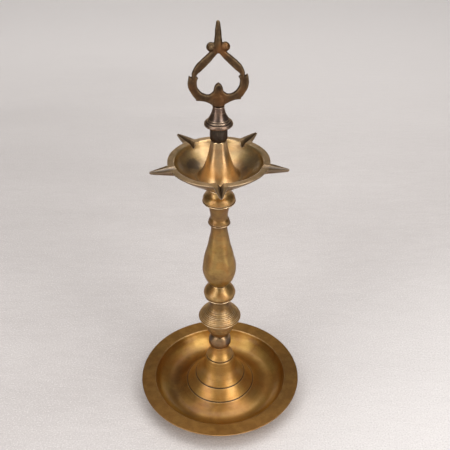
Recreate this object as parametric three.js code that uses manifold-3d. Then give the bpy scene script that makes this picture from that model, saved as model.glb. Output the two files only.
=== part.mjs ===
// Brass standing oil lamp (samai): a drip tray, a turned stem in two pieces, a five-spouted oil bowl and a
// heart-shaped finial, stacked on threaded studs with loose turned rings between the pieces.
// Millimetres, +Z up, origin on the floor at the centre of the foot ring. Spout 1 points close to -Y.
import * as THREE from "three";
import { mergeVertices } from "three/addons/utils/BufferGeometryUtils.js";
import Module from "manifold-3d";

const wasm = await Module();
wasm.setup();

// Driving dimensions.
const GAP = 0.3; // between pieces that touch
const STUD_R = 4.5; // crest radius of the three large studs
const STUD_BORE_R = 5; // threaded sockets for them
const FINIAL_STUD_R = 3.4;
const FINIAL_BORE_R = 3.9;
const STUD_GRIP = 13; // length of stud fixed in the piece above
const KNOP_GRIP = 10; // length of the finial's stud fixed in its knop
const STUD_REACH = 12; // length of stud screwed into the piece below
const STUD_TIP = 0.8; // chamfer on a stud's ends
const BORE_SPARE = 2; // socket depth past the stud's tip

const TRAY_R = 79;
const TRAY_LIP_R = 65.1; // inner edge of the flat rim
const TRAY_RIM_Z = 19;
const TRAY_WALL = 3;
const BOSS_TOP_Z = 60.7;
const BEAD_TOP_Z = 75.2;
const LOWER_STEM_TOP_Z = 122.4;
const DISC_TOP_Z = 137.2;
const UPPER_STEM_TOP_Z = 226.8;
const SEAT_TOP_Z = 240;
const SPIRE_TOP_Z = 285.3;
const COLLAR_TOP_Z = 298.2;

const BOWL_RIM_Z = 266.7;
const BOWL_RIM_R = 42.4;
const BOWL_MOUTH_R = 36.8;
const BOWL_FLOOR_Z = 250.8; // inside
const SPOUTS = 5;
const SPOUT_TIP_R = 58.9;
const BOWL_TURN = THREE.MathUtils.degToRad(1.7); // where the bowl's thread stops it, from spout 1 to -Y

const LOOP_THICK = 4.6;
const LOOP_TURN = THREE.MathUtils.degToRad(5); // where the finial's thread stops it
const LOOP_FOOT_Z = 315.4;

const FINE = 48; // segments round the tray and bowl
const PLAIN = 36; // segments round the stem pieces
const SMALL = 24; // segments round the studs and the small collar

const brass = (colour, roughness) =>
  new THREE.MeshStandardMaterial({ color: colour, roughness, metalness: 1 });
const TRAY_BRASS = brass(0x9a7440, 0.38);
const TURNED_BRASS = brass(0xa88550, 0.35);
const CAST_BRASS = brass(0x94703c, 0.5);
const POLISHED_BRASS = brass(0xb8924e, 0.22);
const GREY_BRONZE = brass(0x6f6052, 0.34);
const DARK_BRONZE = brass(0x4a4038, 0.5);
const LOOP_BRONZE = brass(0x54391f, 0.6);
const STUD_BRASS = brass(0x9c7c48, 0.4);

const at = (r, z) => new THREE.Vector2(r, z);

// Points on a quarter turn of an ellipse from start to end. It leaves start along Z when upright is true,
// and along R otherwise.
function quarter(start, end, upright, steps) {
  const points = [];
  for (let i = 1; i <= steps; i++) {
    const a = (i / steps) * (Math.PI / 2);
    const near = 1 - Math.cos(a);
    const far = Math.sin(a);
    const r = start.x + (end.x - start.x) * (upright ? near : far);
    const z = start.y + (end.y - start.y) * (upright ? far : near);
    points.push(at(r, z));
  }
  return points;
}

// Points on a smooth curve through the given knots.
const smooth = (knots, steps) => new THREE.SplineCurve(knots).getPoints(steps);

function turned(profile, segments) {
  return new THREE.LatheGeometry(profile, segments).rotateX(Math.PI / 2);
}

// A piece turned round a bore. The outline runs from its bottom end up to its top end, and the bore closes
// it.
const sleeve = (outline, boreR, segments) =>
  turned(
    [
      at(boreR, outline[0].y),
      ...outline,
      at(boreR, outline.at(-1).y),
      at(boreR, outline[0].y),
    ],
    segments,
  );

function toSolid(geometry) {
  const bare = geometry.index ? geometry.toNonIndexed() : geometry.clone();
  bare.deleteAttribute("normal");
  bare.deleteAttribute("uv");
  const merged = mergeVertices(bare, 1e-4);
  return new wasm.Manifold(
    new wasm.Mesh({
      numProp: 3,
      vertProperties: merged.attributes.position.array,
      triVerts: new Uint32Array(merged.index.array),
    }),
  );
}

function toGeometry(solid) {
  const mesh = solid.getMesh();
  const geometry = new THREE.BufferGeometry();
  geometry.setAttribute(
    "position",
    new THREE.BufferAttribute(new Float32Array(mesh.vertProperties), 3),
  );
  geometry.setIndex(new THREE.BufferAttribute(new Uint32Array(mesh.triVerts), 1));
  geometry.computeVertexNormals();
  return geometry;
}

function rod(radius, bottom, top, segments) {
  return turned(
    [at(0, bottom), at(radius, bottom), at(radius, top), at(0, top)],
    segments,
  );
}

// A blind socket cut up from the underside or down from the top of a solid.
const bored = (solid, radius, bottom, top) =>
  solid.subtract(toSolid(rod(radius, bottom, top, SMALL)));

// A stud fixed in the piece above the joint, reaching past the loose ring into the piece below it.
function stud(radius, grip, jointTop, jointBottom) {
  const top = jointTop + grip;
  const bottom = jointBottom - STUD_REACH;
  const tip = radius - STUD_TIP;
  return turned(
    [
      at(0, bottom),
      at(tip, bottom),
      at(radius, bottom + STUD_TIP),
      at(radius, top - STUD_TIP),
      at(tip, top),
      at(0, top),
    ],
    SMALL,
  );
}

const socketFloor = (jointBottom) => jointBottom - STUD_REACH - BORE_SPARE;
const socketRoof = (jointTop) => jointTop + STUD_GRIP + GAP;

// A shallow V-shaped line turned into a surface, as the three points that replace the surface point at p.
function incised(p, width, depth, slope) {
  const dz = (width / 2) * slope;
  return [at(p.x - width / 2, p.y - dz), at(p.x, p.y - depth), at(p.x + width / 2, p.y + dz)];
}

// The tray is one casting. It is divided here into five rings, along its incised lines, round its foot ring
// and inside its lip, with a gap at each division.
const HALF_GAP = GAP / 2;
const OUTER_LINE = at(33.2, 12.9); // incised ring where the cone meets the trough
const FOOT_R = 53; // outer edge of the foot ring
const LIP_R = TRAY_LIP_R + 0.9; // just outside the trough's lip
const RIM_UNDER_Z = TRAY_RIM_Z - TRAY_WALL;
const SHOULDER_Z = 46.4; // step under the boss

// The socket's mouth, above a stepped shoulder.
function makeTrayBoss() {
  return sleeve(
    [
      at(12.9, SHOULDER_Z),
      ...smooth([at(13.2, 47.6), at(11.8, 49.8), at(9.8, 53), at(8.4, 57)], 4),
      at(7.8, BOSS_TOP_Z),
    ],
    STUD_BORE_R,
    PLAIN,
  );
}

// The flaring cone, hollow underneath, with an incised ring part of the way down.
function makeTrayCone() {
  const innerRing = at(24.3, 22.8);
  const crown = SHOULDER_Z - GAP;
  const edge = OUTER_LINE.x - HALF_GAP;
  const top = [
    at(STUD_BORE_R, crown),
    at(13.2, crown),
    at(13.8, SHOULDER_Z - 1),
    ...smooth([at(14.6, 41.8), at(16.9, 34), at(20.2, 28), at(23.4, 24)], 4),
    ...incised(innerRing, 1.2, 0.9, -1.3),
    at(28.4, 17.6),
    at(OUTER_LINE.x - 0.7, OUTER_LINE.y + 0.7),
    at(edge, OUTER_LINE.y - 0.6),
  ];
  const under = [
    at(edge, 9),
    at(31.4, 10.2),
    at(24.2, 17.6),
    at(16.4, 28.6),
    at(11.8, 38),
    at(STUD_BORE_R, 41.5),
    at(STUD_BORE_R, crown),
  ];
  return turned([...top, ...under].reverse(), FINE);
}

// The inner part of the trough, with the foot ring that stands on the floor under it.
function makeTrayFloor() {
  const inner = OUTER_LINE.x + HALF_GAP;
  const outer = FOOT_R + HALF_GAP;
  const top = [
    at(inner, OUTER_LINE.y - 0.7),
    at(OUTER_LINE.x + 0.7, OUTER_LINE.y - 0.7),
    ...smooth([at(36, 10.3), at(41, 7), at(47, 5), at(outer, 5.9)], 5),
  ];
  const under = [
    at(outer, 2.3),
    at(52.4, 0),
    at(46.6, 0),
    at(46, 1.8),
    at(38.6, 4.8),
    at(inner, 8.8),
    at(inner, OUTER_LINE.y - 0.7),
  ];
  return turned([...top, ...under].reverse(), FINE);
}

// The trough's outer wall, up to its lip.
function makeTrayWall() {
  const inner = FOOT_R + HALF_GAP + GAP;
  const outer = LIP_R - HALF_GAP;
  const top = [
    at(inner, 5.95),
    ...smooth([at(56.4, 7.6), at(60, 10.4), at(63.6, 15.4)], 4),
    at(TRAY_LIP_R - 0.5, TRAY_RIM_Z - 1.2),
    at(TRAY_LIP_R, TRAY_RIM_Z),
    at(outer, TRAY_RIM_Z),
  ];
  const under = [at(outer, 13.5), at(62.6, 8.4), at(57.6, 3.6), at(inner, 2.4), at(inner, 5.95)];
  return turned([...top, ...under].reverse(), FINE);
}

// The flat rim outside the lip.
function makeTrayRim() {
  const inner = LIP_R + HALF_GAP;
  return turned(
    [
      at(inner, TRAY_RIM_Z),
      at(TRAY_R, TRAY_RIM_Z),
      at(TRAY_R, TRAY_RIM_Z - 0.4),
      at(TRAY_R - 2.4, RIM_UNDER_Z),
      at(67.4, RIM_UNDER_Z),
      at(inner, 14),
      at(inner, TRAY_RIM_Z),
    ].reverse(),
    FINE,
  );
}

// A pomegranate-shaped bead, widest just above its foot.
function makeBaseBead() {
  const foot = at(7.8, BOSS_TOP_Z + GAP);
  const waist = at(10.8, 65);
  const crown = at(6.4, BEAD_TOP_Z);
  return sleeve(
    [foot, ...quarter(foot, waist, false, 3), ...quarter(waist, crown, true, 5)],
    STUD_BORE_R,
    PLAIN,
  );
}

// The big ring has a grooved domed top and a sharp lower edge, and a small cup is turned under it.
function makeLowerStem() {
  const cupFoot = at(8.2, BEAD_TOP_Z + GAP);
  const ringEdge = at(20, 99.2);
  const outline = [
    cupFoot,
    at(10.6, 79),
    at(12.8, 84),
    at(13.5, 89.4),
    at(13.5, 96.6),
    at(19.4, 97.6),
    at(19.9, 98.2),
    ringEdge,
    ...smooth([at(19.6, 100.3), at(17, 102.9), at(13, 106.6), at(10, 110.4)], 5),
    at(9, 114),
    at(8.8, LOWER_STEM_TOP_Z),
  ];
  const body = toSolid(turned([at(0, cupFoot.y), ...outline, at(0, LOWER_STEM_TOP_Z)], PLAIN));
  const roof = socketRoof(cupFoot.y);
  const floor = socketFloor(LOWER_STEM_TOP_Z);
  const lower = bored(body, STUD_R + GAP, cupFoot.y - 1, roof);
  return toGeometry(bored(lower, STUD_BORE_R, floor, LOWER_STEM_TOP_Z + 1));
}

// A flared disc with a rounded shoulder and a sharp, flat-bottomed edge.
function makeMiddleDisc() {
  return sleeve(
    [
      at(14.2, LOWER_STEM_TOP_Z + GAP),
      at(14.6, LOWER_STEM_TOP_Z + GAP + 0.6),
      ...smooth([at(14.7, 124.4), at(14.3, 126.8), at(13, 129.8), at(11.1, 133), at(9, 135.6)], 5),
      at(7.9, DISC_TOP_Z),
    ],
    STUD_BORE_R,
    PLAIN,
  );
}

// A pear-shaped baluster with a small ring and a waisted neck above it.
function makeUpperStem() {
  const foot = DISC_TOP_Z + GAP;
  const belly = [
    at(7.8, foot),
    at(10.4, 140),
    at(12.9, 144),
    at(14.6, 149.6),
    at(15.2, 155.4),
    at(14.6, 162),
    at(12.7, 171),
    at(10.2, 182),
    at(8, 193),
    at(6.5, 204),
  ];
  const outline = [
    ...smooth(belly, 11),
    at(9.2, 204.8),
    at(9.6, 205.5),
    ...smooth([at(9.5, 206.6), at(8.8, 208.8), at(7.6, 211), at(7.8, 215), at(8.7, 220)], 6),
    at(9.4, UPPER_STEM_TOP_Z - 2),
    at(9.4, UPPER_STEM_TOP_Z),
  ];
  const body = toSolid(turned([at(0, foot), ...outline, at(0, UPPER_STEM_TOP_Z)], PLAIN));
  const lower = bored(body, STUD_R + GAP, foot - 1, socketRoof(foot));
  const floor = socketFloor(UPPER_STEM_TOP_Z);
  return toGeometry(bored(lower, STUD_BORE_R, floor, UPPER_STEM_TOP_Z + 1));
}

// A bell-shaped seat that spreads from the bowl's foot to a rounded flange.
function makeBowlSeatCollar() {
  return sleeve(
    [
      at(13.6, UPPER_STEM_TOP_Z + GAP),
      at(14.2, UPPER_STEM_TOP_Z + GAP + 0.6),
      ...smooth([at(14.4, 228.6), at(13.9, 231), at(12.5, 233.4), at(10.4, 235.4), at(9.3, 238)], 5),
      at(9.2, SEAT_TOP_Z),
    ],
    STUD_BORE_R,
    PLAIN,
  );
}

// One wick spout, pointing along +X: a keeled wedge that narrows to a rounded tip, with its top at the rim.
function spoutBody() {
  const stations = [
    { r: 33, half: 7.2, deep: 7.5 },
    { r: 42, half: 5.8, deep: 5.6 },
    { r: 51, half: 3.3, deep: 3.6 },
    { r: 57, half: 1.7, deep: 2.4 },
    { r: SPOUT_TIP_R, half: 0.8, deep: 1.6 },
  ];
  const section = ({ r, half, deep }) => [
    new THREE.Vector3(r, -half, BOWL_RIM_Z),
    new THREE.Vector3(r, -half * 0.92, BOWL_RIM_Z - deep * 0.4),
    new THREE.Vector3(r, 0, BOWL_RIM_Z - deep),
    new THREE.Vector3(r, half * 0.92, BOWL_RIM_Z - deep * 0.4),
    new THREE.Vector3(r, half, BOWL_RIM_Z),
  ];
  return loft(stations.map(section));
}

// The spout's wick channel: a V-shaped slot from inside the bowl to the tip, open at the top.
function spoutChannel() {
  const stations = [
    { r: 30, half: 2.3, deep: 4 },
    { r: 46, half: 1.9, deep: 2.8 },
    { r: SPOUT_TIP_R + 2, half: 0.4, deep: 0.8 },
  ];
  const rise = 1;
  const section = ({ r, half, deep }) => [
    new THREE.Vector3(r, -half, BOWL_RIM_Z + rise),
    new THREE.Vector3(r, -half, BOWL_RIM_Z),
    new THREE.Vector3(r, 0, BOWL_RIM_Z - deep),
    new THREE.Vector3(r, half, BOWL_RIM_Z),
    new THREE.Vector3(r, half, BOWL_RIM_Z + rise),
  ];
  return loft(stations.map(section));
}

// A closed solid through a row of convex sections along +X. Each has the same number of points, and they
// run anticlockwise as seen from +X.
function loft(sections) {
  const points = sections.flat();
  const n = sections[0].length;
  const faces = [];
  for (let s = 0; s + 1 < sections.length; s++) {
    for (let i = 0; i < n; i++) {
      const a = s * n + i;
      const b = s * n + ((i + 1) % n);
      faces.push(a, b, a + n, b, b + n, a + n);
    }
  }
  const last = points.length - n;
  for (let i = 1; i + 1 < n; i++) {
    faces.push(0, i + 1, i);
    faces.push(last, last + i, last + i + 1);
  }
  const geometry = new THREE.BufferGeometry().setFromPoints(points);
  geometry.setIndex(faces);
  return geometry;
}

const spoutAngle = (i) => BOWL_TURN - Math.PI / 2 + (i * 2 * Math.PI) / SPOUTS;

// The bowl, with its five spouts spread evenly. Its stud passes up through its floor.
function makeLampBowl() {
  const foot = SEAT_TOP_Z + GAP;
  const outer = turned(
    [
      at(0, foot),
      at(9.2, foot),
      at(9.6, 241.6),
      ...smooth([at(12, 242.8), at(17.4, 246.4), at(24.4, 251.2), at(33, 257.6), at(39, 262)], 6),
      at(41.4, 264),
      at(BOWL_RIM_R, 265),
      at(BOWL_RIM_R, BOWL_RIM_Z),
      at(0, BOWL_RIM_Z),
    ],
    FINE,
  );
  const hollow = turned(
    [
      at(0, BOWL_FLOOR_Z),
      at(17, BOWL_FLOOR_Z),
      ...smooth([at(20, 251.4), at(26, 255), at(32.4, 260), at(35.6, 263.6)], 5),
      at(BOWL_MOUTH_R, BOWL_RIM_Z),
      at(BOWL_MOUTH_R, BOWL_RIM_Z + 1),
      at(0, BOWL_RIM_Z + 1),
    ],
    FINE,
  );
  let body = toSolid(outer);
  for (let i = 0; i < SPOUTS; i++) {
    body = body.add(toSolid(spoutBody().rotateZ(spoutAngle(i))));
  }
  body = body.subtract(toSolid(hollow));
  for (let i = 0; i < SPOUTS; i++) {
    body = body.subtract(toSolid(spoutChannel().rotateZ(spoutAngle(i))));
  }
  return toGeometry(bored(body, STUD_R + GAP, foot - 1, BOWL_FLOOR_Z + 1));
}

// The spire that rises from the middle of the bowl and spreads over its floor. The two are one casting,
// divided here at the floor. The bowl's stud ends in it, and the finial screws into its tip.
function makeBowlSpire() {
  const foot = BOWL_FLOOR_Z + GAP;
  const outline = [
    at(17.6, foot),
    at(17.4, 252),
    ...smooth([at(15.8, 253.4), at(12.9, 257.6), at(9.9, 266), at(7.6, 275.4)], 6),
    at(6.3, SPIRE_TOP_Z - 1.5),
    at(6.2, SPIRE_TOP_Z),
  ];
  const body = toSolid(turned([at(0, foot), ...outline, at(0, SPIRE_TOP_Z)], PLAIN));
  const lower = bored(body, STUD_R + GAP, foot - 1, socketRoof(SEAT_TOP_Z + GAP));
  return toGeometry(bored(lower, FINIAL_BORE_R, socketFloor(SPIRE_TOP_Z), SPIRE_TOP_Z + 1));
}

function makeFinialCollar() {
  return sleeve(
    [
      at(6.5, SPIRE_TOP_Z + GAP),
      at(7, 287),
      at(7.2, 291),
      at(7, 295.6),
      at(6.7, COLLAR_TOP_Z),
    ],
    FINIAL_BORE_R,
    SMALL,
  );
}

// A waisted knop that flares in two steps to a rounded bead with a sharp lower edge.
function makeFinialKnop() {
  const foot = COLLAR_TOP_Z + GAP;
  const outline = [
    at(11, foot),
    at(11.5, foot + 0.5),
    at(11.7, 299.6),
    ...quarter(at(11.7, 299.6), at(9.2, 302.2), true, 3),
    at(8.5, 302.6),
    at(8.4, 304),
    ...smooth([at(7.6, 305.8), at(6.4, 308.6), at(5.3, 311.6), at(4.8, 314)], 5),
    at(4.9, LOOP_FOOT_Z - GAP),
  ];
  const body = toSolid(turned([at(0, foot), ...outline, at(0, LOOP_FOOT_Z - GAP)], PLAIN));
  return toGeometry(bored(body, FINIAL_STUD_R + GAP, foot - 1, foot + KNOP_GRIP + GAP));
}

// Mirrors the right half of an outline, a list from the bottom up, to close it round the axis.
const mirrored = (half) => [...half, ...half.map((p) => at(-p.x, p.y)).reverse()];

// The heart's outside: the foot, the pointed lower tips, the cheeks with their cusps, the arms and the apex.
function heartOutline() {
  return mirrored([
    at(4.6, LOOP_FOOT_Z),
    ...smooth([at(5.4, 316.4), at(8.9, 318.4), at(13, 319.8), at(17.8, 320.2)], 4),
    ...smooth([at(17.6, 321.2), at(19.6, 323.8), at(22.6, 329), at(23.7, 334.2), at(22.7, 340.8)], 7),
    at(20.4, 339.4),
    ...smooth([at(20.2, 342), at(17.4, 347.6), at(12.6, 352.4), at(6.8, 357.4)], 5),
    at(3, 361.4),
  ]);
}

// The opening inside the heart, with the bud standing up into it from below.
function heartOpening() {
  return mirrored([
    at(0.01, 334.4),
    ...smooth([at(2.2, 332.8), at(3.4, 330.4), at(4.2, 327.2), at(7, 324.7)], 5),
    ...smooth([at(9.6, 324.6), at(13.4, 326.6), at(16.2, 330.4), at(17, 334.6), at(16.6, 337.8)], 6),
    at(15.4, 338.6),
    at(17, 340.4),
    ...smooth([at(15.6, 342.6), at(11.8, 346.2), at(6, 352)], 3),
    at(0.01, 358.9),
  ]);
}

function plate(outline) {
  const geometry = new THREE.ExtrudeGeometry(new THREE.Shape(outline), {
    depth: LOOP_THICK,
    bevelEnabled: false,
  });
  return geometry.translate(0, 0, -LOOP_THICK / 2).rotateX(Math.PI / 2);
}

// The carrying loop: a flat cast heart with two scroll balls at its apex and a round spike above them.
function makeFinialLoop() {
  const ballR = 3.3;
  const ballX = 5.7;
  const ballZ = 362.8;
  const spikeTop = 383;
  const spike = turned(
    [
      at(0, 357.5),
      at(3.2, 359),
      at(3.2, 366),
      at(2.5, 376),
      at(2, 381),
      at(1.1, spikeTop - 0.4),
      at(0, spikeTop),
    ],
    16,
  );
  let body = toSolid(plate(heartOutline())).subtract(
    toSolid(plate(heartOpening()).scale(1, 2, 1)),
  );
  for (const side of [-1, 1]) {
    const ball = new THREE.SphereGeometry(ballR, 14, 8).translate(side * ballX, 0, ballZ);
    body = body.add(toSolid(ball));
  }
  const boss = turned(
    [at(0, LOOP_FOOT_Z), at(4.6, LOOP_FOOT_Z), at(5.2, 319), at(4, 325), at(0, 330)],
    SMALL,
  );
  return toGeometry(body.add(toSolid(spike)).add(toSolid(boss))).rotateZ(LOOP_TURN);
}

const samai = new THREE.Group();

function addNode(name, geometry, material) {
  const mesh = new THREE.Mesh(geometry, material);
  mesh.name = name;
  samai.add(mesh);
}

addNode("tray_boss", makeTrayBoss(), TRAY_BRASS);
addNode("tray_cone", makeTrayCone(), TRAY_BRASS);
addNode("tray_floor", makeTrayFloor(), TRAY_BRASS);
addNode("tray_wall", makeTrayWall(), TRAY_BRASS);
addNode("tray_rim", makeTrayRim(), TRAY_BRASS);
addNode("base_bead", makeBaseBead(), TURNED_BRASS);
addNode("lower_stem", makeLowerStem(), TURNED_BRASS);
addNode("lower_stem_stud", stud(STUD_R, STUD_GRIP, BEAD_TOP_Z + GAP, BOSS_TOP_Z), STUD_BRASS);
addNode("middle_disc", makeMiddleDisc(), POLISHED_BRASS);
addNode("upper_stem", makeUpperStem(), CAST_BRASS);
addNode("upper_stem_stud", stud(STUD_R, STUD_GRIP, DISC_TOP_Z + GAP, LOWER_STEM_TOP_Z), STUD_BRASS);
addNode("bowl_seat_collar", makeBowlSeatCollar(), POLISHED_BRASS);
addNode("lamp_bowl", makeLampBowl(), POLISHED_BRASS);
addNode("bowl_spire", makeBowlSpire(), POLISHED_BRASS);
addNode("bowl_stud", stud(STUD_R, STUD_GRIP, SEAT_TOP_Z + GAP, UPPER_STEM_TOP_Z), STUD_BRASS);
addNode("finial_collar", makeFinialCollar(), DARK_BRONZE);
addNode("finial_knop", makeFinialKnop(), GREY_BRONZE);
addNode("finial_loop", makeFinialLoop(), LOOP_BRONZE);
addNode("finial_stud", stud(FINIAL_STUD_R, KNOP_GRIP, COLLAR_TOP_Z + GAP, SPIRE_TOP_Z), STUD_BRASS);

export default samai;
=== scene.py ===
"""Looks of the brass standing oil lamp: tray, turned stem, five-spouted oil bowl and heart finial."""

import math

import bpy
import numpy as np
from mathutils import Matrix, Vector, noise


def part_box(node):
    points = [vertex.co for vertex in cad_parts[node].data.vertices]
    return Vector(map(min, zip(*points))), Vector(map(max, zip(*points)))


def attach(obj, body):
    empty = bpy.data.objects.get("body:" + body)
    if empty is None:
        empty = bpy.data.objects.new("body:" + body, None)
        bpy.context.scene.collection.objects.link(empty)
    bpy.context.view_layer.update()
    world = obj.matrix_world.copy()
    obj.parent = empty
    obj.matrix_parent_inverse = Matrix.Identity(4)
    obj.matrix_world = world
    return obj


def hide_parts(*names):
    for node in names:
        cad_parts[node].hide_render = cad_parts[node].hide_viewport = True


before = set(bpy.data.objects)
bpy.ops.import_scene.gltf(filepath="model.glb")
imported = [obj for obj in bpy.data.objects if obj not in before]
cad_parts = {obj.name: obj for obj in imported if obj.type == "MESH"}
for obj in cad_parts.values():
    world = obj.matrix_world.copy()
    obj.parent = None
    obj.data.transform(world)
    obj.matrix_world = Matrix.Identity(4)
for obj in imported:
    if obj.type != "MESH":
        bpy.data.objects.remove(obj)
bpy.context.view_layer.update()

MM = 0.001
WHOLE = 2 * math.pi
RIM = 26.4  # height of the bowl's rim over its foot
CONE_LINES = (24.3, 33.2)  # radii of the two lower lines cut round the tray's cone
NECK_LINE = 46.35  # height of the line under the tray's neck
TRAY_RIM = (65.1, 19)  # radius where the trough meets the flat rim, and the rim's height
BOWL_RIM = (37.5, 42.4)  # inner and outer radius of the bowl's flat rim


# ---------------------------------------------------------------- outlines, in millimetres (radius, height)

def curved(*knots, step=0.4):
    """Points on a smooth curve through the knots, about step apart."""
    p = [np.array(k, float) for k in knots]
    p = [2 * p[0] - p[1]] + p + [2 * p[-1] - p[-2]]
    out = []
    for i in range(1, len(p) - 2):
        a, b, c, d = p[i - 1 : i + 3]
        n = max(2, round(np.linalg.norm(c - b) / step))
        for t in np.arange(n) / n:
            out.append(
                0.5
                * (
                    2 * b
                    + (c - a) * t
                    + (2 * a - 5 * b + 4 * c - d) * t**2
                    + (3 * b - a - 3 * c + d) * t**3
                )
            )
    out.append(p[-2])
    return [tuple(q) for q in out]


def quarter(start, end, upright):
    """Points on a quarter ellipse from start to end, which leaves start upright or level."""
    out = []
    for a in np.linspace(0, math.pi / 2, 14)[1:]:
        near, far = 1 - math.cos(a), math.sin(a)
        u, v = (near, far) if upright else (far, near)
        out.append((start[0] + (end[0] - start[0]) * u, start[1] + (end[1] - start[1]) * v))
    return out


def line_cut(r, h, width, depth, slope):
    """An incised V across a surface that falls by slope, at (r, h)."""
    dh = width / 2 * slope
    return [(r - width / 2, h - dh), (r, h - depth), (r + width / 2, h + dh)]


def lip(r, h=0.0):
    """A thin raised lip round the bottom edge of a turned ring."""
    steps = [(-0.5, 0), (-0.1, 0.15), (0, 0.5), (-0.15, 0.85), (-0.6, 1.05), (-0.7, 1.35)]
    return [(r + out, h + up) for out, up in steps]


def refine(points, step, closed):
    """Cuts each stretch of an outline into steps, and takes the sharpness off its corners."""
    ends = points + points[:1] if closed else points
    out = []
    for a, b in zip(ends, ends[1:]):
        a, b = np.array(a, float), np.array(b, float)
        n = max(1, math.ceil(np.linalg.norm(b - a) / step - 0.2))
        out += [a + (b - a) * i / n for i in range(n)]
    if not closed:
        out.append(np.array(points[-1], float))
    p = np.array(out)
    for _ in range(2):
        q = (np.roll(p, 1, 0) + 2 * p + np.roll(p, -1, 0)) / 4
        if not closed:
            q[[0, -1]] = p[[0, -1]]
        p = q
    return p


def grooved(p, low, high, pitch, depth, seed):
    """Fine tool lines turned into the outside of an outline between two heights."""
    rng = np.random.default_rng(seed)
    tangent = np.roll(p, -1, 0) - np.roll(p, 1, 0)
    tangent /= np.linalg.norm(tangent, axis=1)[:, None] + 1e-9
    outward = np.stack([tangent[:, 1], -tangent[:, 0]], 1)
    run = np.concatenate([[0], np.cumsum(np.linalg.norm(np.diff(p, axis=0), axis=1))])
    marks, s = [], run[0]
    while s < run[-1]:
        s += pitch * rng.uniform(0.7, 1.35)
        marks.append((s, depth * rng.uniform(0.45, 1.15)))
    inside = (p[:, 1] > low) & (p[:, 1] < high) & (outward[:, 0] > -0.2) & (outward[:, 1] > -0.3)
    for at, deep in marks:
        cut = np.clip(1 - np.abs(run - at) / (pitch * 0.36), 0, 1) * deep * inside
        p = p - outward * cut[:, None]
    return p


# ---------------------------------------------------------------- meshes

def new_object(name, verts, faces):
    """A mesh object from points in metres."""
    mesh = bpy.data.meshes.new(name)
    mesh.from_pydata([tuple(v) for v in verts], [], faces)
    mesh.update()
    obj = bpy.data.objects.new(name, mesh)
    bpy.context.scene.collection.objects.link(obj)
    return obj


def turned(name, outline, foot, segments=144, wobble=0.0, seed=0):
    """Turns an outline round the Z axis. It runs up the outside, and ends on the axis or closes."""
    p = np.array(outline, float)
    poles = p[0, 0] < 1e-6 and p[-1, 0] < 1e-6
    rings = p[1:-1] if poles else p
    turn = np.arange(segments) / segments * WHOLE
    verts = np.zeros((len(rings), segments, 3))
    verts[..., 0] = rings[:, :1] * np.cos(turn)
    verts[..., 1] = rings[:, :1] * np.sin(turn)
    verts[..., 2] = rings[:, 1:]
    verts = verts.reshape(-1, 3)
    if wobble:
        for v in verts:
            r = math.hypot(v[0], v[1])
            if r > 5.5:
                q = Vector((v[0], v[1], v[2] * 0.7)) / 7 + Vector((seed * 9.1, 0, 0))
                swell = 1 + wobble * noise.noise(q) / r
                v[0] *= swell
                v[1] *= swell
    n = len(rings)
    faces = []
    for i in range(n - 1 if poles else n):
        a, b = i * segments, (i + 1) % n * segments
        for k in range(segments):
            m = (k + 1) % segments
            faces.append((a + k, a + m, b + m, b + k))
    verts = list(verts)
    if poles:
        first, last = len(verts), len(verts) + 1
        verts += [(0, 0, p[0, 1]), (0, 0, p[-1, 1])]
        top = (n - 1) * segments
        for k in range(segments):
            m = (k + 1) % segments
            faces.append((first, m, k))
            faces.append((last, top + k, top + m))
    verts = np.array(verts) * MM + [0, 0, foot]
    return new_object(name, verts, faces)


def edge_marks(obj, soften=2, least=0.28):
    """Writes how sharply each point stands out or lies in a crease, for rubbed wear and painted highlights
    on the edges and painted shade in the creases.
    """
    mesh = obj.data
    n_edges, n_loops, n_verts = len(mesh.edges), len(mesh.loops), len(mesh.vertices)
    loop_edge = np.zeros(n_loops, int)
    mesh.loops.foreach_get("edge_index", loop_edge)
    starts = np.zeros(len(mesh.polygons), int)
    mesh.polygons.foreach_get("loop_start", starts)
    counts = np.zeros(len(mesh.polygons), int)
    mesh.polygons.foreach_get("loop_total", counts)
    loop_face = np.repeat(np.arange(len(starts)), counts)
    normal = np.zeros(len(starts) * 3)
    mesh.polygons.foreach_get("normal", normal)
    normal = normal.reshape(-1, 3)
    area = np.zeros(len(starts))
    mesh.polygons.foreach_get("area", area)
    centre = np.zeros(len(starts) * 3)
    mesh.polygons.foreach_get("center", centre)
    centre = centre.reshape(-1, 3)
    ends = np.zeros(n_edges * 2, int)
    mesh.edges.foreach_get("vertices", ends)
    ends = ends.reshape(-1, 2)
    co = np.zeros(n_verts * 3)
    mesh.vertices.foreach_get("co", co)
    co = co.reshape(-1, 3)
    order = np.argsort(loop_edge, kind="stable")
    e, f = loop_edge[order], loop_face[order]
    pair = np.where(e[1:] == e[:-1])[0]
    e, f1, f2 = e[pair], f[pair], f[pair + 1]
    angle = np.arccos(np.clip((normal[f1] * normal[f2]).sum(1), -1, 1))
    length = np.linalg.norm(co[ends[e, 0]] - co[ends[e, 1]], axis=1)
    width = np.maximum((area[f1] + area[f2]) / 2 / np.maximum(length, 1e-9), 1e-4)
    bend = angle / (width * 1000)
    hollow = ((centre[f2] - centre[f1]) * normal[f1]).sum(1) > 0
    bend *= np.clip((angle - 0.05) / 0.08, 0, 1)
    marks = {}
    for key, chosen, low, high in (("edge", ~hollow, least, 1.3), ("crease", hollow, 0.2, 1.0)):
        value = np.zeros(n_verts)
        share = np.clip((bend[chosen] - low) / (high - low), 0, 1)
        for side in (0, 1):
            np.maximum.at(value, ends[e[chosen], side], share)
        for _ in range(soften):
            total, near = value.copy(), np.ones(n_verts)
            for i, j in ((0, 1), (1, 0)):
                np.add.at(total, ends[:, i], value[ends[:, j]])
                np.add.at(near, ends[:, i], 1)
            value = np.maximum(total / near, value * 0.75)
        marks[key] = value
    for key, value in marks.items():
        layer = mesh.attributes.new(key, "FLOAT", "POINT")
        layer.data.foreach_set("value", value.astype(np.float32))


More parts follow.
